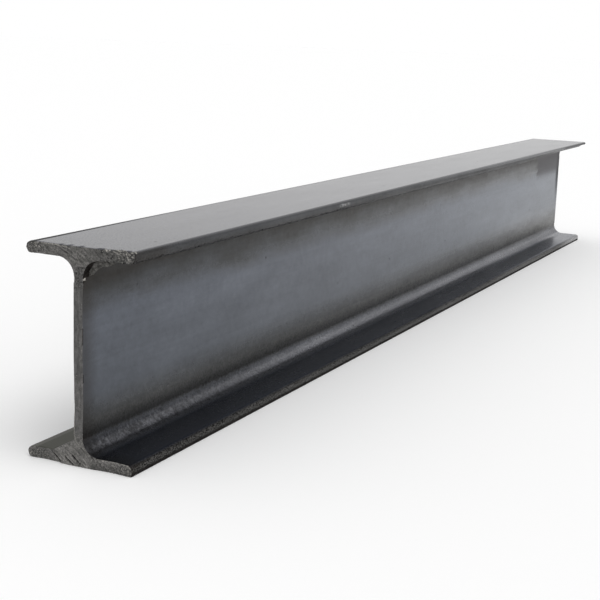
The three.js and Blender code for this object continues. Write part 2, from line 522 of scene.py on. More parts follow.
# %% [markdown]
# Then the roughness. A rough patch is a Displace modifier on a vertex group whose edge is smoothed. It is fine on the
# flanges and hardly any on the web, where the cut went smoothly. Where the torch lingered, at the back tip of the top
# flange, it is beaded. It is coarse at the front tips and pitted beside the curtain.

# %% Near end: rough patches
WEB_FROM, WEB_TO = 15 * MM, 84 * MM


def roughen(name, test, grain, depth, soften=6, kind="SOFT_NOISE", basis="BLENDER_ORIGINAL", axis="X"):
    """Presses the vertices that pass the test, or else the selected ones, in by cloud noise. Sizes are in mm."""
    if test:
        pick("VERT", test)
    bpy.context.scene.tool_settings.vertex_group_weight = 1.0
    bpy.ops.object.vertex_group_assign_new()
    beam.vertex_groups.active.name = name
    if soften:
        bpy.ops.object.vertex_group_smooth(group_select_mode="ACTIVE", factor=0.5, repeat=soften)
    bpy.ops.object.mode_set(mode="OBJECT")
    texture = bpy.data.textures.new(name, "CLOUDS")
    texture.noise_scale = grain * MM
    texture.noise_depth = 2
    texture.noise_basis = basis
    texture.noise_type = kind
    modifier = beam.modifiers.new(name, "DISPLACE")
    modifier.texture = texture
    modifier.texture_coords = "LOCAL"
    modifier.direction = axis
    modifier.vertex_group = name
    modifier.strength = depth * MM * (INTO if axis == "X" else -1)
    modifier.mid_level = 0.0
    bpy.ops.object.modifier_apply(modifier=name)
    beam.vertex_groups.remove(beam.vertex_groups[name])
    bpy.data.textures.remove(texture)
    bpy.ops.object.mode_set(mode="EDIT")


def on_web(place):
    return WEB_FROM < place.z < WEB_TO


roughen("flange_cuts", lambda place: not on_web(place), 1.1, 0.25)
roughen("web_cut", on_web, 1.1, 0.08)
roughen("beaded_tip", lambda place: place.y > 18.5 * MM and place.z > 90 * MM, 0.8, 0.8, 10, basis="VORONOI_F1")
roughen("coarse_top", lambda place: place.y < -11 * MM and place.z > 94 * MM, 1.2, 0.8, kind="HARD_NOISE")
roughen("coarse_foot", lambda place: place.y < -7 * MM and place.z < 6 * MM, 0.9, 0.6, kind="HARD_NOISE")
roughen("root_pits", lambda place: between(-6 * MM, place.y, 2 * MM) and between(81 * MM, place.z, 91 * MM),
        0.7, 1.1, soften=5, kind="HARD_NOISE")
roughen("lumpy_curtain", in_curtain, 1.6, 0.9, soften=3)
print_depth()

# %% [markdown]
# Last come the lines. Drag lines lean with the torch: flattest at the back of the top flange, steeper at its front
# and on the bottom flange, and upright on the web. A seeded generator scatters them, so every run gives the same
# ones. The gouges, placed one by one, are where the torch was pulled away and set on again. Three notches in the
# web's front edge are pressed in the same way.

# %% Near end: drag lines and gouges
chance = random.Random(4)


def drag_lines(count, y_range, z_range, slant, length, depth, width):
    """Scatters fine grooves that lean by the slant, in degrees, down towards the front. Sizes are in mm."""
    for _ in range(count):
        y, z = chance.uniform(*y_range), chance.uniform(*z_range)
        angle = math.radians(slant + chance.uniform(-8, 8))
        half = chance.uniform(*length) / 2
        step = (math.cos(angle) * half, math.sin(angle) * half)
        groove((y + step[0], z + step[1]), (y - step[0], z - step[1]), chance.uniform(*depth), width)


drag_lines(34, (2, 24), (94.6, 99.6), 20, (3, 8), (0.03, 0.13), 0.6)
drag_lines(20, (-16, 1), (93.0, 99.6), 42, (2, 6), (0.05, 0.22), 0.5)
drag_lines(40, (-9, 12), (0.6, 9.0), 38, (2, 5), (0.06, 0.22), 0.5)
drag_lines(20, (-2.2, 2.3), (14, 82), 90, (4, 16), (0.04, 0.14), 0.45)

GOUGES = (
    # start, end, depth, all in mm
    ((14.4, 4.3), (10.2, 0.9), 1.6),
    ((7.0, 3.4), (3.0, 0.6), 0.8),
    ((3.0, 4.4), (-0.8, 1.4), 0.8),
    ((10.4, 8.2), (5.5, 11.4), 0.7),
)
WEB_EDGE_NOTCHES = (((-2.3, 85.2), (-2.3, 83.8)), ((-2.3, 63.4), (-2.3, 56.4)), ((-2.3, 42.8), (-2.3, 39.2)))
for start, end, depth in GOUGES:
    groove(start, end, depth, 0.5)
for start, end in WEB_EDGE_NOTCHES:
    groove(start, end, 0.5, 1.0)
print_depth()

# %% [markdown]
# A burr is too thin to need a shape of its own: a cell of the grid is as wide as the real thing. So the burrs are
# lines of faces with a brighter material, where the cut's edge was rubbed, and the same pale colour paints the
# highlights that the edges catch: round the front root, along the top and the foot, and as short scratches on the
# tips of the top flange. The faces in the notches in the web's front edge get painted shade, in the near-black
# material.

# %% Near end: burrs
ROOT_ARC = [(-(WEB_SIDE + ROOT_RADIUS * (1 - math.cos(angle))) / MM,
             (FLANGE + ROOT_RADIUS * (1 - math.sin(angle))) / MM)
            for angle in (math.radians(degrees) for degrees in range(10, 90, 10))]
RUBBED_AND_GLINTING_EDGES = (
    # the points of each line: (across, up) in mm
    ((2.1, 26.0), (2.2, 14.3), (1.0, 11.4), (-1.2, 10.0)),
    ((-22.6, 99.6), (-23.3, 98.6), (-25.3, 95.8)),
    ((-17.0, 99.3), (-19.0, 98.4), (-21.8, 98.9)),
    ((18.5, 99.7), (10.5, 99.8), (4.5, 99.0)),
    ROOT_ARC,
    ((-11.0, 5.3), (-14.5, 5.2)),
    ((-21.5, 5.2), (-26.2, 5.0), (-27.7, 3.6)),
)
SCRATCHES = 5
SCRATCHED_TIPS = (
    # the ranges of a scratch's place across and up, and of its run across and up, in mm
    ((-27, -9), (96.5, 99.8), (-0.3, -1.6), (-0.8, 0.5)),
    ((20, 27.5), (95.0, 99.5), (-0.2, -1.2), (0.2, -0.8)),
)


def rub(start, end, reach=0.55 * CELL, slot=BURR_AND_GLINT_SLOT):
    """Gives a thin line of faces between two points, (y, z) in mm, the pale material of burrs and glints or another
    one.
    """
    found = pick("FACE", along(start, end, reach))
    assign(slot)
    return found


# pale burr lines, which also paint the highlights along the cut's edges
rubbed = sum(rub(start, end) for line in RUBBED_AND_GLINTING_EDGES for start, end in zip(line, line[1:]))
for ranges in SCRATCHED_TIPS:
    for _ in range(SCRATCHES):
        y, z, across, up = [chance.uniform(*ends) for ends in ranges]
        rubbed += rub((y, z), (y + across, z + up), 0.4 * CELL)
# painted shade: the faces in the web's edge notches get the near-black material
for start, end in WEB_EDGE_NOTCHES:
    rub(start, end, 0.5 * CELL, SHADE_AND_GRIME_SLOT)
print("faces rubbed bright:", rubbed)

# %% [markdown]
# ## Extruding the bar
#
# The sheet is moved so that its highest point lies just inside the beam's end, and then extruded along the beam.
# Close behind each end the steps are short, and each is about a quarter longer than the last. The curtain and the lip
# take part in the first steps only: their faces are left out of the selection once they are thick enough. Past the
# near end's marks the sheet is flattened, and the long plain middle takes a few wide steps.

# %% Extrusion
FIRST_STEP = 0.32 * MM
STEP_GROWTH = 1.28
END_ZONE = 13 * MM
MIDDLE_STEPS = 8
CURTAIN_STEPS = 3
LIP_STEPS = 5


def extrude_by(distance):
    bpy.ops.mesh.extrude_region_move(TRANSFORM_OT_translate={"value": (distance, 0, 0)})


highest = min(v.co.x for v in bmesh.from_edit_mesh(beam.data).verts)
bpy.ops.mesh.select_all(action="SELECT")
bpy.ops.transform.translate(value=(NEAR_END_X + SKIN - highest, 0, 0))
bpy.ops.mesh.select_mode(type="FACE")
steps = []
while sum(steps) < END_ZONE:
    steps.append(FIRST_STEP * STEP_GROWTH ** len(steps))
for count, distance in enumerate(steps):
    if count == CURTAIN_STEPS:
        pick("FACE", lambda place: not in_curtain(place), within=True)
    if count == LIP_STEPS:
        pick("FACE", lambda place: not in_slag(place), within=True)
    extrude_by(distance)
bpy.ops.transform.resize(value=(0, 1, 1), center_override=(NEAR_END_X + sum(steps), 0, 0))
for _ in range(MIDDLE_STEPS):
    extrude_by((beam_length - 2 * sum(steps)) / MIDDLE_STEPS)
print("the lip is", round(sum(steps[:LIP_STEPS]) / MM, 1), "mm thick, the curtain",
      round(sum(steps[:CURTAIN_STEPS]) / MM, 1), "mm")

# %% [markdown]
# ## The far end
#
# Everything but the moving sheet is hidden, and it is carved in the same way with the depths turned round. Then the
# bar is shown again, and the same steps in reverse order take the sheet to the end.

# %% Far end
INTO = -1  # and out of it at this one
bpy.ops.mesh.hide(unselected=True)
assign(CUT_SLOT)
dip(6.1, 18)
dip(-28, 15)
groove((-2.4, 71), (2.4, 71), WEB_DRIFT, 25, core=CELL)
roughen("far_all_over", lambda place: True, 1.1, 0.25, soften=0)
roughen("far_tips", lambda place: abs(place.y) > 14 * MM, 0.9, 0.6, kind="HARD_NOISE")
for z_range in ((95, 99.6), (0.4, 5)):
    drag_lines(40, (-26, 26), z_range, 60, (2, 5), (0.08, 0.30), 0.5)
drag_lines(20, (-2.2, 2.3), (14, 82), 90, (4, 16), (0.04, 0.14), 0.45)
print_depth()
bpy.ops.mesh.select_mode(type="FACE")
bpy.ops.mesh.select_all(action="SELECT")
bpy.ops.mesh.reveal(select=False)
for distance in reversed(steps):
    extrude_by(distance)
print("faces of the bar:", count_faces())

# %% [markdown]
# At this end the top flange's front toe has been dragged over the ground and is worn to half its thickness, so its
# tip looks pointed. Scaling the toe towards the flange's top face presses up only its underside, and the
# proportional falloff fades the change out towards the web. Extruded walls may come out inside out, so the last line
# turns every normal outwards.

# %% Worn toe
WORN_LENGTH = 120 * MM
WORN_EDGE = 2 * MM
WORN_WIDTH = 6 * MM
WORN_TO = 0.5

worn_points = pick("VERT", lambda place: place.x > FAR_END_X - WORN_LENGTH
                   and place.y < WORN_EDGE - TOE_SIDE and place.z > UPPER_FLANGE - CLOSE)
bpy.ops.transform.resize(value=(1, 1, WORN_TO), center_override=(0, 0, section_depth), use_proportional_edit=True,
                         proportional_edit_falloff="SMOOTH", proportional_size=WORN_WIDTH)
bpy.ops.mesh.select_all(action="SELECT")
bpy.ops.mesh.normals_make_consistent(inside=False)
print("points of the worn toe:", worn_points)

# %% [markdown]
# ## Scale on the rolled walls
#
# Every wall that the extrusion made lies exactly along the beam, so its normal has no X in it. Those faces are the
# rolled surface and get the mill scale, apart from the slag's. The lowest of them get the near-black material: a
# painted contact shadow where the bar meets the floor, with some grime in it.

# %% Rolled walls
LEVEL = 0.01
CONTACT_SHADE_AND_GRIME_TOP = 1.6 * MM

rolled = pick("FACE", lambda place: not in_slag(place), facing=lambda normal: abs(normal.x) < LEVEL)
assign(SCALE_SLOT)
# painted contact shadow, with some grime, on the lowest rolled faces
pick("FACE", lambda place: place.z < CONTACT_SHADE_AND_GRIME_TOP, within=True)
assign(SHADE_AND_GRIME_SLOT)
print("rolled faces:", rolled, "of", count_faces())

# %% [markdown]
# ## Melted arrises
#
# The sharp edge between the cut and a rolled face, its arris, melts a little as the flame passes. The arrises are
# selected by their angle and pressed in by noise, but not on the web, where the cut is clean. The one along the top
# is nicked: each nick is a proportional move downwards, and reaches farther back at the front tip. Between the nicks
# at the front the melt froze in beads. They were rubbed pale, and their pale material also paints the glints they
# catch; a noise of their size picks the faces they cover.

# %% Arrises
SHARP = math.radians(60)
NICKS = 22
NICK_LENGTH = 1.6 * MM
TIP_NICK_LENGTH = 3.4 * MM
FRONT_TIP = -18  # mm
BEADS = 1.3 * MM
BEADS_LENGTH = 5 * MM
BEADS_FROM = 0.08
FACING_UP = 0.6

bpy.ops.mesh.select_all(action="DESELECT")
bpy.ops.mesh.select_mode(type="EDGE")
bpy.ops.mesh.edges_select_sharp(sharpness=SHARP)
bpy.ops.mesh.select_mode(type="VERT")
bpy.ops.mesh.select_more()
pick("VERT", lambda place: not on_web(place), within=True)
roughen("melted_arris", None, 1.0, 0.35, soften=2, axis="NORMAL")


def nick(y, depth, width):
    """Presses the top arris of the near end down. Sizes are in mm."""
    length = NICK_LENGTH if y > FRONT_TIP else TIP_NICK_LENGTH
    pick("VERT", lambda place: abs(place.y - y * MM) < 0.6 * CELL and place.z > section_depth - CELL
         and place.x < NEAR_END_X + length)
    push((0, 0, -depth), width)


def in_bead(place):
    """Whether a place on the nicked front of the top arris is in one of its beads."""
    return (place.x < NEAR_END_X + BEADS_LENGTH and between(-27.7 * MM, place.y, -10 * MM)
            and between(98.7 * MM, place.z, 99.97 * MM) and noise.noise(place / BEADS) > BEADS_FROM)


for y in (9.5, 5.0, -1.0, -11.0):
    nick(y, 0.5, 1.6)
for _ in range(NICKS):
    nick(chance.uniform(-27, -10), chance.uniform(0.3, 1.0), chance.uniform(0.7, 1.3))
beads = pick("FACE", in_bead, facing=lambda normal: normal.z > FACING_UP)
assign(BURR_AND_GLINT_SLOT)
print("nicks along the top:", NICKS, "and faces of their beads:", beads)

# %% [markdown]
# A few beads of spatter stuck to the edges of the near end. They are small patches of faces with a pale material,
# which also paints the glints that they catch.
# After that the shape is done, and shading it smooth up to an angle keeps the arrises crisp.

# %% Spatter
SPATTER_LENGTH = 2.2 * MM
SPATTER_AND_GLINTS = (
    # across, up, reach, all in mm
    (-14.2, 99.6, 0.3), (-19.0, 99.5, 0.22), (-26.4, 99.3, 0.3), (-12.8, 4.8, 0.35), (-2.35, 85.6, 0.4),
)
CRISP = math.radians(50)

# pale spatter beads, which also paint glints
for y, z, reach in SPATTER_AND_GLINTS:
    middle = Vector((y, z)) * MM
    pick("FACE", lambda place: place.x < NEAR_END_X + SPATTER_LENGTH and (place.yz - middle).length < reach * MM)
    assign(SPATTER_AND_GLINT_SLOT)
bpy.ops.object.mode_set(mode="OBJECT")
bpy.ops.object.shade_smooth_by_angle(angle=CRISP)
print("triangles:", sum(len(face.vertices) - 2 for face in beam.data.polygons))

# %% [markdown]
# ## Mill scale: bands of scale and painted shade up the section
#
# Mill scale is the oxide skin that grows on steel while it cools from the rolls. It is thin, hard and blue-grey, and
# it mirrors like dark glass. To the eye that is a dark metal, so Metallic is 1, the base colour is dark and the
# roughness is low.
#
# The rolls slide over the toes and pinch the roots, and there the scale is duller, and on the toes darker. Its
# colour up the section is partly the scale's and partly painted light: painted shade under the top flange and above
# the bottom fillet, a painted highlight along the bottom fillet, and a painted contact shadow along the foot. All of
# it depends mostly on the height up the section, so one ColorRamp holds it: a stop's colour is the painted colour,
# and its alpha the roughness.

# %% Scale and painted shade by height
# stops up to 1.7 mm are painted contact shadow, 5.3 to 9 mm a painted fillet highlight, 11 to 25 and 74 to 94 mm
# painted shade
SCALE_AND_SHADE_BY_HEIGHT = (
    # mm up, colour, roughness
    (0.0, "#0C0B0B", 0.60),
    (1.7, "#1A1918", 0.50),
    (2.4, "#3B3A38", 0.42),
    (4.3, "#363534", 0.42),
    (4.8, "#1F1F20", 0.44),
    (5.3, "#3A3E49", 0.34),
    (5.5, "#5D6372", 0.26),
    (6.0, "#777980", 0.32),
    (7.4, "#717278", 0.30),
    (9.0, "#7C7D82", 0.28),
    (11.0, "#4F5157", 0.34),
    (13.5, "#363635", 0.40),
    (19.0, "#525251", 0.36),
    (25.0, "#4F5154", 0.28),
    (33.0, "#595D64", 0.19),
    (67.0, "#5C6068", 0.19),
    (74.0, "#4A4C50", 0.24),
    (80.0, "#3B3C3D", 0.32),
    (86.5, "#2F2D2B", 0.42),
    (94.0, "#302F2E", 0.42),
    (96.0, "#363637", 0.42),
    (98.0, "#404143", 0.40),
    (99.0, "#47484B", 0.36),
    (99.65, "#57585B", 0.27),
    (99.9, "#616167", 0.18),
)

tree = scale_tree
coords = add_node(tree, "TexCoord").outputs["Object"]
place = add_node(tree, "SeparateXYZ", {0: coords})
scale_and_shade_bands = add_node(tree, "ValToRGB")
stops = scale_and_shade_bands.color_ramp.elements
while len(stops) < len(SCALE_AND_SHADE_BY_HEIGHT):
    stops.new(0.5)
for stop, (level, colour, roughness) in zip(stops, SCALE_AND_SHADE_BY_HEIGHT):
    stop.position = level * MM / section_depth
    stop.color = (*linear(colour)[:3], roughness)
print("heights in the ramp:", len(stops))

# %% [markdown]
# ## Mill scale: its patterns
#
# The scale is uneven along the bar too, at several sizes at once. Cooling leaves soft patches, the rolls leave fine
# lengthwise streaks, and handling leaves smudges and blots. Each is a noise whose scale is one over a real size, and
# one with a stretch is drawn out along the bar. Real grit and grain are finer than is drawn here, under 0.3 mm, but
# they wouldn't show.

# %% Patterns of the scale
SCALE_PATTERNS = {
    # name: size in mm, stretch along the bar, detail, roughness
    "patches": (16, 4, 6, 0.6),
    "streaks": (1.5, 50, 3, 0.5),
    "smudges": (4, 1, 5, 0.65),
    "blots": (3.5, 1, 4, 0.6),
    "fray": (1.6, 1, 4, 0.65),
    "grit": (0.8, 1, 2, 0.7),
    "grain": (0.9, 1, 2, 0.5),
}

pattern = {}
for name, (size, stretch, detail, roughness) in SCALE_PATTERNS.items():
    drawn_out = add_node(tree, "Mapping", {"Vector": coords, "Scale": (1 / stretch, 1, 1)})
    pattern[name] = add_node(tree, "TexNoise", {"Vector": drawn_out, "Scale": 1 / (size * MM), "Detail": detail,
                                                "Roughness": roughness})
print("patterns of the scale:", *pattern)

# %% [markdown]
# The bands are not ruled lines. Noise lifts and lowers the height that the ramp is given: a fine one frays every
# band, and a coarse one makes the painted shade under the top flange sway. Near the flanges the shift has to stop,
# because there the ramp also tells a flange's face from its edge. A zone is a mask for a place on the beam, built
# from ramps along the axes.

# %% Ragged bands
NEAR, FAR = NEAR_END_X / MM, FAR_END_X / MM
FRAY = 0.9 * MM
SWAY = 6 * MM


def zone(place, *ramps, most=1.0):
    """A mask, full where all its ramps are. A ramp is an axis, where it starts and where it is full, in mm."""
    tree = place.id_data
    mask = most
    for axis, start, full in ramps:
        ramp = add_node(tree, "MapRange", {"Value": place.outputs[axis], **span(start * MM, full * MM)},
                        interpolation_type="SMOOTHSTEP")
        mask = add_node(tree, "Math", {0: mask, 1: ramp}, operation="MULTIPLY")
    return mask


frayed = add_node(tree, "MapRange", {"Value": pattern["fray"], **span(0.3, 0.7, -FRAY, FRAY)})
swayed = add_node(tree, "MapRange", {"Value": pattern["patches"], **span(0.3, 0.7, -SWAY, SWAY)})
shift = add_node(tree, "Math", {0: swayed, 1: zone(place, ("Z", 62, 76)), 2: frayed}, operation="MULTIPLY_ADD")
between_flanges = zone(place, ("Z", 5.6, 7.5), ("Z", 93, 90))
height = add_node(tree, "Math", {0: shift, 1: between_flanges, 2: place.outputs["Z"]}, operation="MULTIPLY_ADD")
share = add_node(tree, "Math", {0: height, 1: section_depth}, operation="DIVIDE")
tree.links.new(share.outputs[0], scale_and_shade_bands.inputs["Fac"])
print("nodes in the mill scale:", len(tree.nodes))

# %% [markdown]
# Patches, streaks and smudges are each turned into a factor near 1, and the factors are multiplied. The top face is
# evener, so there the product is drawn back towards 1.
#
# Here and there a flake of scale has come off and left a dark speck. A Voronoi texture gives every cell one point,
# and its random colour picks the cells that get a speck.

# %% Unevenness and specks
UNEVENNESS = (
    # pattern, its range, and the factors at the ends of that range
    ("patches", 0.3, 0.7, 0.86, 1.12),
    ("streaks", 0.25, 0.75, 0.95, 1.05),
    ("smudges", 0.3, 0.7, 0.90, 1.08),
)
SPECK_SPACING = 13 * MM
SPECK_CORE, SPECK_RIM = 0.04, 0.08  # in spacings
CELLS_WITH_SPECK = 0.35
SPECK_DARK = 0.55

variety = 1.0
for name, *ends in UNEVENNESS:
    factor = add_node(tree, "MapRange", {"Value": pattern[name], **span(*ends)})
    variety = add_node(tree, "Math", {0: variety, 1: factor}, operation="MULTIPLY")
top_face = zone(place, ("Z", 99.6, 99.9), most=0.6)
variety = add_node(tree, "Mix", {"Factor": top_face, "A": variety, "B": 1.0})

cells = add_node(tree, "TexVoronoi", {"Vector": coords, "Scale": 1 / SPECK_SPACING})
clear = add_node(tree, "MapRange", {"Value": cells.outputs["Distance"], **span(SPECK_CORE, SPECK_RIM)})
lot = add_node(tree, "SeparateColor", {"Color": cells.outputs["Color"]})
spared = add_node(tree, "Math", {0: lot.outputs["Red"], 1: CELLS_WITH_SPECK}, operation="GREATER_THAN")
clear = add_node(tree, "Math", {0: clear, 1: spared}, operation="MAXIMUM")
factors = [add_node(tree, "MapRange", {"Value": clear, "To Min": SPECK_DARK})]
print("nodes in the mill scale:", len(tree.nodes))

# %% [markdown]
# The foot of the front toe has been dragged over rough floors. Its scale is chipped into bright and dark grit, most
# of all near the cut end. In the roots, which the rolls hardly touch, the scale keeps a fine grain like pepper, and
# so does the top flange near the cut.

# %% Chipped toe and peppery roots
CHIPPED_OVER = 320  # mm
CHIPPED_LEAST = 0.3
FOOT_GRAIN = 0.25
WEB_GRAIN = 0.15


def marked(mask, source, *ends):
    """A factor that follows the source, between the ends of a span. Outside the mask it is 1."""
    tree = mask.id_data
    factor = add_node(tree, "MapRange", {"Value": source, **span(*ends)})
    return add_node(tree, "Mix", {"Factor": mask, "A": 1.0, "B": factor})


lively = add_node(tree, "MapRange", {"Value": place.outputs["X"],
                                     **span(NEAR * MM, (NEAR + CHIPPED_OVER) * MM, 1.0, CHIPPED_LEAST)})
on_foot = add_node(tree, "Math", {0: zone(place, ("Z", 5.2, 4.6)), 1: lively}, operation="MULTIPLY")
factors.append(marked(on_foot, pattern["grit"], 0.42, 0.62, 0.2, 2.8))

root = 1.0
for start, end, least, most in ((5.2, 6, FOOT_GRAIN, 1.0), (12, 30, 1.0, WEB_GRAIN)):
    ramp = add_node(tree, "MapRange", {"Value": place.outputs["Z"], **span(start * MM, end * MM, least, most)},
                    interpolation_type="SMOOTHSTEP")
    root = add_node(tree, "Math", {0: root, 1: ramp}, operation="MULTIPLY")
near_top = zone(place, ("X", NEAR + 170, NEAR), ("Z", 95, 97))
grainy = add_node(tree, "Math", {0: root, 1: near_top}, operation="MAXIMUM")
factors.append(marked(grainy, pattern["grain"], 0.35, 0.65, 0.78, 1.22))
print("nodes in the mill scale:", len(tree.nodes))

# %% [markdown]
# The front toe of the top flange changes along the bar. Near the cut end flakes of scale have come off its lower
# corner. Towards the middle the toe is duller, with a paler line under it, and farther on its upper corner is paler.
# Below, the rim of the foot is darker along the middle.
#
# All the factors then scale the colour. A darker spot is also a rougher one, so the roughness is divided by them. In
# the middle of the web a faint blue tint paints the bluish light that falls there from overhead.

# %% Toe marks and blue web
FRONT_TOE = ("Y", -24, -25)
TOE_MARKS = {
    # name: factor, and the ramps of its zone
    "dull toe": (0.86, FRONT_TOE, ("X", NEAR + 260, NEAR + 380), ("X", NEAR + 600, NEAR + 480),
                 ("Z", 95.2, 97.4), ("Z", 99.0, 98.2)),
    "pale line": (1.1, ("Y", -20, -22), ("X", NEAR + 240, NEAR + 330), ("X", NEAR + 600, NEAR + 480),
                  ("Z", 94.65, 95.2), ("Z", 97.0, 96.2)),
    "paler upper corner": (1.85, FRONT_TOE, ("X", NEAR + 300, NEAR + 640), ("X", NEAR + 770, NEAR + 660),
                      ("Z", 97.6, 99.3), ("Z", 99.95, 99.6)),
    "dark rim": (0.82, ("Y", -25.5, -26.8), ("X", NEAR + 200, NEAR + 300), ("X", NEAR + 640, NEAR + 500),
                 ("Z", 3.2, 3.8), ("Z", 5.4, 5.1)),
}
OVERHEAD_LIGHT_BLUE = "#F2F8FF"

flaky = zone(place, ("Y", -20, -23), ("Z", 93.6, 94.4), ("Z", 96.8, 95.8), ("X", NEAR + 260, NEAR + 220))
factors.append(marked(flaky, pattern["fray"], 0.54, 0.60, 1.0, 0.4))
for times, *ramps in TOE_MARKS.values():
    factors.append(add_node(tree, "MapRange", {"Value": zone(place, *ramps), **span(0, 1, 1, times)}))
for factor in factors:
    variety = add_node(tree, "Math", {0: variety, 1: factor}, operation="MULTIPLY")

colour = add_node(tree, "VectorMath", {0: scale_and_shade_bands.outputs["Color"], "Scale": variety}, operation="SCALE")
rough = add_node(tree, "Math", {0: scale_and_shade_bands.outputs["Alpha"], 1: variety}, operation="DIVIDE")
# painted light: the bluish light from overhead on the middle of the web
overhead_lit_web = zone(place, ("X", NEAR + 150, FAR - 100), ("Z", 26, 40), ("Z", 80, 70))
colour = add_node(tree, "Mix", {"Factor": overhead_lit_web, "A": colour, "B": linear(OVERHEAD_LIGHT_BLUE)}, data_type="RGBA",
                  blend_type="MULTIPLY")
print("marks on the toes:", *TOE_MARKS, sep=", ")

# %% [markdown]
# ## Mill scale: heat and grime
#
# The flame browned the scale beside both cuts. At the near end the stain reaches a centimetre or so, and farther
# along the front toe of the top flange, where the flame blew. At the far end it is a dark, matt border on the web.
# A stain is a colour that a zone mixes in.

# %% Heat tint
BROWNED = "#2E2A26"
BROWNED_MOST = 0.55
TOE_REACH = 21 * MM
TOP_FACE = 99.6 * MM
BURNT_ROUGHNESS = 0.8

front_toe = zone(place, FRONT_TOE, ("Z", 93, 94))
reached = add_node(tree, "Math", {0: front_toe, 1: -TOE_REACH, 2: place.outputs["X"]}, operation="MULTIPLY_ADD")
scorch = add_node(tree, "MapRange", {"Value": reached, **span((NEAR + 14) * MM, (NEAR + 1) * MM, 0, BROWNED_MOST)},
                  interpolation_type="SMOOTHSTEP")
far_scorch = zone(place, ("X", FAR - 14, FAR - 5), ("Z", 30, 76), ("Z", 99, 98), most=0.75)
scorch = add_node(tree, "Math", {0: scorch, 1: far_scorch}, operation="MAXIMUM")
below_top = add_node(tree, "Math", {0: place.outputs["Z"], 1: TOP_FACE}, operation="LESS_THAN")
scorch = add_node(tree, "Math", {0: scorch, 1: below_top}, operation="MULTIPLY")
colour = add_node(tree, "Mix", {"Factor": scorch, "A": colour, "B": linear(BROWNED)}, data_type="RGBA")
rough = add_node(tree, "Mix", {"Factor": far_scorch, "A": rough, "B": BURNT_ROUGHNESS})
print("nodes in the mill scale:", len(tree.nodes))

# %% [markdown]
# Near the far end a dark blot covers the upper web. It starts at a ragged line across the bar, because noise moves
# the place where it begins by up to a few centimetres. Near the cut end the lower fillet is blotched with dull
# spots, and one knock has bared a bright chip on the front toe of the top flange.

# %% Blots and a knock
BLOT = "#37353A"
BLOT_ROUGHNESS = 0.45
BLOT_SWAY = 30 * MM
CHIP = "#A0A0A0"

edge = add_node(tree, "Math", {0: pattern["blots"], 1: BLOT_SWAY, 2: place.outputs["X"]}, operation="MULTIPLY_ADD")
far_blot = add_node(tree, "MapRange", {"Value": edge, **span((FAR - 74) * MM, (FAR - 66) * MM)},
                    interpolation_type="SMOOTHSTEP")
upper_web = zone(place, ("Z", 64, 75), ("Z", 99.6, 99.0), most=0.8)
far_blot = add_node(tree, "Math", {0: far_blot, 1: upper_web}, operation="MULTIPLY")
colour = add_node(tree, "Mix", {"Factor": far_blot, "A": colour, "B": linear(BLOT)}, data_type="RGBA")
rough = add_node(tree, "Mix", {"Factor": far_blot, "A": rough, "B": BLOT_ROUGHNESS})

near_fillet = zone(place, ("Z", 5.5, 7), ("Z", 13, 10.5), ("X", NEAR + 280, NEAR))
dimmed = marked(near_fillet, pattern["blots"], 0.38, 0.62, 0.7, 0.25)
colour = add_node(tree, "VectorMath", {0: colour, "Scale": dimmed}, operation="SCALE")

knock = zone(place, FRONT_TOE, ("X", NEAR + 217, NEAR + 222), ("X", NEAR + 236, NEAR + 229), ("Z", 96.6, 97.8),
             ("Z", 99.2, 98.2))
chip = add_node(tree, "MapRange", {"Value": pattern["fray"], **span(0.38, 0.58)})
chip = add_node(tree, "Math", {0: knock, 1: chip}, operation="MULTIPLY")
colour = add_node(tree, "Mix", {"Factor": chip, "A": colour, "B": linear(CHIP)}, data_type="RGBA")
print("nodes in the mill scale:", len(tree.nodes))

# %% [markdown]
# The back toes carry a matt film of dirt over the scale. Dirt isn't a metal, so Metallic falls to 0 there and the
# roughness rises. The film is widest near the cut end. On the back of the bottom flange it is thin and olive.

# %% Dirty back
TOE_DIRT = "#262626"
DIRT_ROUGHNESS = 0.8
DIRT_SOFTNESS = 1 * MM
DIRT_LEAST = 0.45
OLIVE_FILM = "#4A4A42"
OLIVE_ROUGHNESS = 0.5

near_cut = zone(place, ("X", NEAR + 170, NEAR))
film_edge = add_node(tree, "MapRange", {"Value": near_cut, **span(0, 1, 24.6 * MM, 22.8 * MM)})
beyond = add_node(tree, "Math", {0: place.outputs["Y"], 1: film_edge}, operation="SUBTRACT")
film = add_node(tree, "MapRange", {"Value": beyond, **span(0, DIRT_SOFTNESS)}, interpolation_type="SMOOTHSTEP")
cover = add_node(tree, "MapRange", {"Value": near_cut, "To Min": DIRT_LEAST})
film = add_node(tree, "Math", {0: film, 1: cover}, operation="MULTIPLY")
metallic = add_node(tree, "Math", {0: 1.0, 1: film}, operation="SUBTRACT")
back_foot = zone(place, ("Y", 2.4, 5), ("Z", 13, 9))
for mask, dirt, roughness in ((film, TOE_DIRT, DIRT_ROUGHNESS), (back_foot, OLIVE_FILM, OLIVE_ROUGHNESS)):
    colour = add_node(tree, "Mix", {"Factor": mask, "A": colour, "B": linear(dirt)}, data_type="RGBA")
    rough = add_node(tree, "Mix", {"Factor": mask, "A": rough, "B": roughness})
print("nodes in the mill scale:", len(tree.nodes))

# %% [markdown]
# At the far end of the bottom flange a pale, dull patch is a painted reflection of the bright sky. The same grit
# noise as on the toe breaks it into spots.
#
# Last comes a bump for the grain, 0.024 mm high: a rolled surface is flat to a few hundredths of a millimetre. It is
# weaker on the flats than in the root, so that the web stays a soft mirror.

# %% Painted sky reflection, bump and shader
PAINTED_REFLECTION_PALE = "#D2D2D4"
PALE_PATCH_ROUGHNESS = 0.38
GRAIN_HEIGHT = 0.024 * MM
FLAT_GRAIN = 0.5

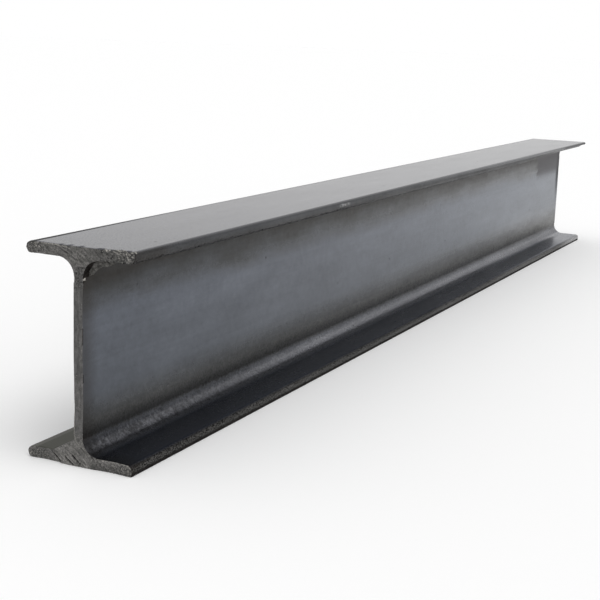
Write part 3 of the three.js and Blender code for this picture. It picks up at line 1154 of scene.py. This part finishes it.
# painted reflection of the sky on the far end of the bottom flange
painted_sky_reflection = zone(place, ("X", FAR - 90, FAR - 20), ("Z", 7, 5.6))
dull = add_node(tree, "Math", {0: painted_sky_reflection, 1: PALE_PATCH_ROUGHNESS}, operation="MULTIPLY")
rough = add_node(tree, "Math", {0: rough, 1: dull}, operation="MAXIMUM")
reflection_spots = add_node(tree, "MapRange", {"Value": pattern["grit"], **span(0.4, 0.65, 0.2, 0.9)})
reflection_spots = add_node(tree, "Math", {0: painted_sky_reflection, 1: reflection_spots}, operation="MULTIPLY")
colour = add_node(tree, "Mix", {"Factor": reflection_spots, "A": colour, "B": linear(PAINTED_REFLECTION_PALE)}, data_type="RGBA")

lower_fillet = zone(place, ("Z", 5.6, 7), ("Z", 17, 12))
strength = add_node(tree, "MapRange", {"Value": lower_fillet, "To Min": FLAT_GRAIN})
bump = add_node(tree, "Bump", {"Height": pattern["grain"], "Strength": strength, "Distance": GRAIN_HEIGHT})
shader = add_node(tree, "BsdfPrincipled", {"Base Color": colour, "Metallic": metallic, "Roughness": rough,
                                           "Normal": bump})
add_node(tree, "OutputMaterial", {"Surface": shader})
print("nodes in the mill scale:", len(tree.nodes))

# %% [markdown]
# ## Torch-cut steel: the crust
#
# The flame leaves the cut under a thin crust of oxide. The crust isn't a metal and it scatters light, so the end face
# is matt and its lumps show: Metallic is 0 and the roughness is about that of fired clay. Its colour wanders between
# two warm greys. It is darker at the front of the top flange and paler in the middle of the foot, and at the foot's
# front it pales upwards. On the web it is a touch darker and bluer. The finest patterns, of 0.5 to 0.7 mm, are a
# little coarser than the real ones, which wouldn't show.

# %% Crust colours
CRUST_DARK = "#4D4C49"
CRUST_LIGHT = "#5F5D5B"
WEB_TINT = "#EBEBEE"
CRUST_PATTERNS = {
    # name: size in mm, detail, roughness
    "clouds": (3, 4, 0.6),
    "grit": (0.6, 2, 0.5),
    "soot": (1.0, 2, 0.6),
    "flecks": (0.7, 2, 0.7),
    "bumps": (0.5, 2, 0.5),
}
CRUST_SHADES = {
    # name: factor, and the ramps of its zone
    "front of the top flange": (0.7, ("Z", 88, 93), ("Y", -2, -9)),
    "middle of the foot": (1.3, ("Z", 12, 9), ("Y", -9, -5), ("Y", 15, 10)),
}

tree = cut_tree
coords = add_node(tree, "TexCoord").outputs["Object"]
place = add_node(tree, "SeparateXYZ", {0: coords})
pattern = {}
for name, (size, detail, roughness) in CRUST_PATTERNS.items():
    pattern[name] = add_node(tree, "TexNoise", {"Vector": coords, "Scale": 1 / (size * MM), "Detail": detail,
                                                "Roughness": roughness})
share = add_node(tree, "MapRange", {"Value": pattern["clouds"], **span(0.38, 0.62)})
colour = add_node(tree, "Mix", {"Factor": share, "A": linear(CRUST_DARK), "B": linear(CRUST_LIGHT)},
                  data_type="RGBA")
on_web_cut = zone(place, ("Z", 14, 16), ("Z", 93, 88))
colour = add_node(tree, "Mix", {"Factor": on_web_cut, "A": colour, "B": linear(WEB_TINT)}, data_type="RGBA",
                  blend_type="MULTIPLY")
factors = [marked(zone(place, ("Z", 9, 6), ("Y", -4, -9)), place.outputs["Z"], 0.6 * MM, 4.8 * MM, 0.6, 1.4)]
for times, *ramps in CRUST_SHADES.values():
    factors.append(add_node(tree, "MapRange", {"Value": zone(place, *ramps), **span(0, 1, 1, times)}))
print("nodes in the crust:", len(tree.nodes))

# %% [markdown]
# Drag lines stripe the crust as well as shape it. A noise that is squeezed gives stripes: one Mapping node turns the
# pattern and another squeezes it. They lean on the flanges and are upright on the web.
#
# Geometry's Pointiness tells ridges from hollows in the mesh, so it paints shade into the hollows and a highlight
# onto the ridges. Grit finer than the mesh is one more noise. Both are weaker on the web, where the cut is clean.

# %% Drag stripes, grit and painted shade in hollows
STRIPE_SIZE = 1.1 * MM
STRIPE_LEAN = math.radians(-32)
SQUEEZED_ACROSS = (1, 0.2, 1)
SQUEEZED_UP = (1, 1, 0.15)

turned = add_node(tree, "Mapping", {"Vector": coords, "Rotation": (STRIPE_LEAN, 0, 0)})
leaning = add_node(tree, "Mapping", {"Vector": turned, "Scale": SQUEEZED_ACROSS})
upright = add_node(tree, "Mapping", {"Vector": coords, "Scale": SQUEEZED_UP})
drag = add_node(tree, "Mix", {"Factor": on_web_cut, "A": leaning, "B": upright}, data_type="VECTOR")
lines = add_node(tree, "TexNoise", {"Vector": drag, "Scale": 1 / STRIPE_SIZE, "Detail": 3.0, "Roughness": 0.6})
pointiness = add_node(tree, "NewGeometry").outputs["Pointiness"]
striped = add_node(tree, "MapRange", {"Value": lines, **span(0.35, 0.65, 0.62, 1.38)})
gritty = add_node(tree, "MapRange", {"Value": pattern["grit"], **span(0.3, 0.7, 0.6, 1.4)})
# painted shade in the hollows, painted highlight on the ridges
hollow_shade_and_ridge_light = add_node(tree, "MapRange", {"Value": pointiness, **span(0.44, 0.56, 0.25, 1.75)})
grit_and_hollow_shade = add_node(tree, "Math", {0: gritty, 1: hollow_shade_and_ridge_light}, operation="MULTIPLY")
smooth_web = zone(place, ("Z", 14, 16), ("Z", 86, 81), most=0.65)
factors += [striped, add_node(tree, "Mix", {"Factor": smooth_web, "A": grit_and_hollow_shade, "B": 1.0})]
print("nodes in the crust:", len(tree.nodes))

# %% [markdown]
# At the tips of the flanges the torch lingered. There the soot is thickest, and pale flecks of burnt steel are most
# crowded. Both are noises cut off at a level, and the level moves with the distance from the web.

# %% Soot, flecks and shader
TIPS_FROM, TIPS_TO = 12 * MM, 24 * MM
MORE_AT_TIPS = {"soot": -0.13, "flecks": 0.08}
BURNT_FLECK = "#A09C96"
CRUST_ROUGHNESS = 0.6
CRUST_BUMP_HEIGHT = 0.08 * MM

aside = add_node(tree, "Math", {0: place.outputs["Y"]}, operation="ABSOLUTE")
to_tip = add_node(tree, "MapRange", {"Value": aside, **span(TIPS_FROM, TIPS_TO)})
soot, flecks = [add_node(tree, "Math", {0: to_tip, 1: more, 2: pattern[name]}, operation="MULTIPLY_ADD")
                for name, more in MORE_AT_TIPS.items()]
factors.append(add_node(tree, "MapRange", {"Value": soot, **span(0.3, 0.4, 0.3)}))
for factor in factors:
    colour = add_node(tree, "VectorMath", {0: colour, "Scale": factor}, operation="SCALE")
flecked = add_node(tree, "MapRange", {"Value": flecks, **span(0.66, 0.74, 0, 0.8)})
colour = add_node(tree, "Mix", {"Factor": flecked, "A": colour, "B": linear(BURNT_FLECK)}, data_type="RGBA")

strength = add_node(tree, "Math", {0: 1.0, 1: smooth_web}, operation="SUBTRACT")
bump = add_node(tree, "Bump", {"Height": pattern["bumps"], "Strength": strength, "Distance": CRUST_BUMP_HEIGHT})
shader = add_node(tree, "BsdfPrincipled", {"Base Color": colour, "Metallic": 0.0, "Roughness": CRUST_ROUGHNESS,
                                           "Normal": bump})
add_node(tree, "OutputMaterial", {"Surface": shader})
print("nodes in the crust:", len(tree.nodes))

# %% [markdown]
# ## Slag, and painted shade with grime
#
# Cutting slag is a froth of iron oxide that froze as it ran. To the eye it is a dull, lumpy dark grey, with colour
# that changes over about a millimetre. The near-black material is painted shade: the contact shadow along the toe
# that stands on the floor, with some grime in it, and the shade in the crevice and the notches. It is almost black
# and soaks up light, so its roughness is high and its specular level low.
#
# These small surfaces wander between two colours and have a bump at the same size, so one function fills them in.

# %% Slag, and painted shade with grime
def two_tone(tree, dark, light, grain_size, roughness, **sockets):
    """Fills a tree with a matt material that wanders between two colours, with bumps of this size."""
    coords = add_node(tree, "TexCoord").outputs["Object"]
    cloud = add_node(tree, "TexNoise", {"Vector": coords, "Scale": 1 / grain_size, "Detail": 3.0})
    share = add_node(tree, "MapRange", {"Value": cloud, **span(0.35, 0.65)})
    colour = add_node(tree, "Mix", {"Factor": share, "A": linear(dark), "B": linear(light)}, data_type="RGBA")
    bump = add_node(tree, "Bump", {"Height": cloud, "Strength": 1.0, "Distance": CRUST_BUMP_HEIGHT})
    shader = add_node(tree, "BsdfPrincipled", {"Base Color": colour, "Metallic": 0.0, "Roughness": roughness,
                                               "Normal": bump, **sockets})
    add_node(tree, "OutputMaterial", {"Surface": shader})
    print("two tones:", dark, light)


two_tone(slag_tree, "#302F2C", "#64625E", 1.2 * MM, 0.65)
# painted shade with some grime: the crevice, the notches and the contact shadow along the foot
two_tone(shade_and_grime_tree, "#151312", "#2A2725", 1.5 * MM, 0.9, **{"Specular IOR Level": 0.1})

# %% [markdown]
# ## Burrs and spatter
#
# A burr is the thin ragged rim that a cut leaves. Handling rubs its crust pale but doesn't polish it, so it is a
# lighter version of the crust, and its pale colour also paints the highlights that the cut's edges catch. Spatter is
# beads of steel that flew out of the cut and froze. Their skin is pale and dusty, and with their painted glints
# they are the brightest spots of the end face.

# %% Burrs and spatter
# pale burrs and spatter, which also paint the highlights and glints of the cut's edges
two_tone(burr_and_glint_tree, "#605E5A", "#98958F", 1.0 * MM, 0.5)
two_tone(spatter_and_glint_tree, "#A5A19A", "#C4C0B8", 1.0 * MM, 0.5)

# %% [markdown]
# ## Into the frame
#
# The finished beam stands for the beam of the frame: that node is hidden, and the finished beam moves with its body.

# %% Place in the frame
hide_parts("i_beam")
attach(beam, "root")
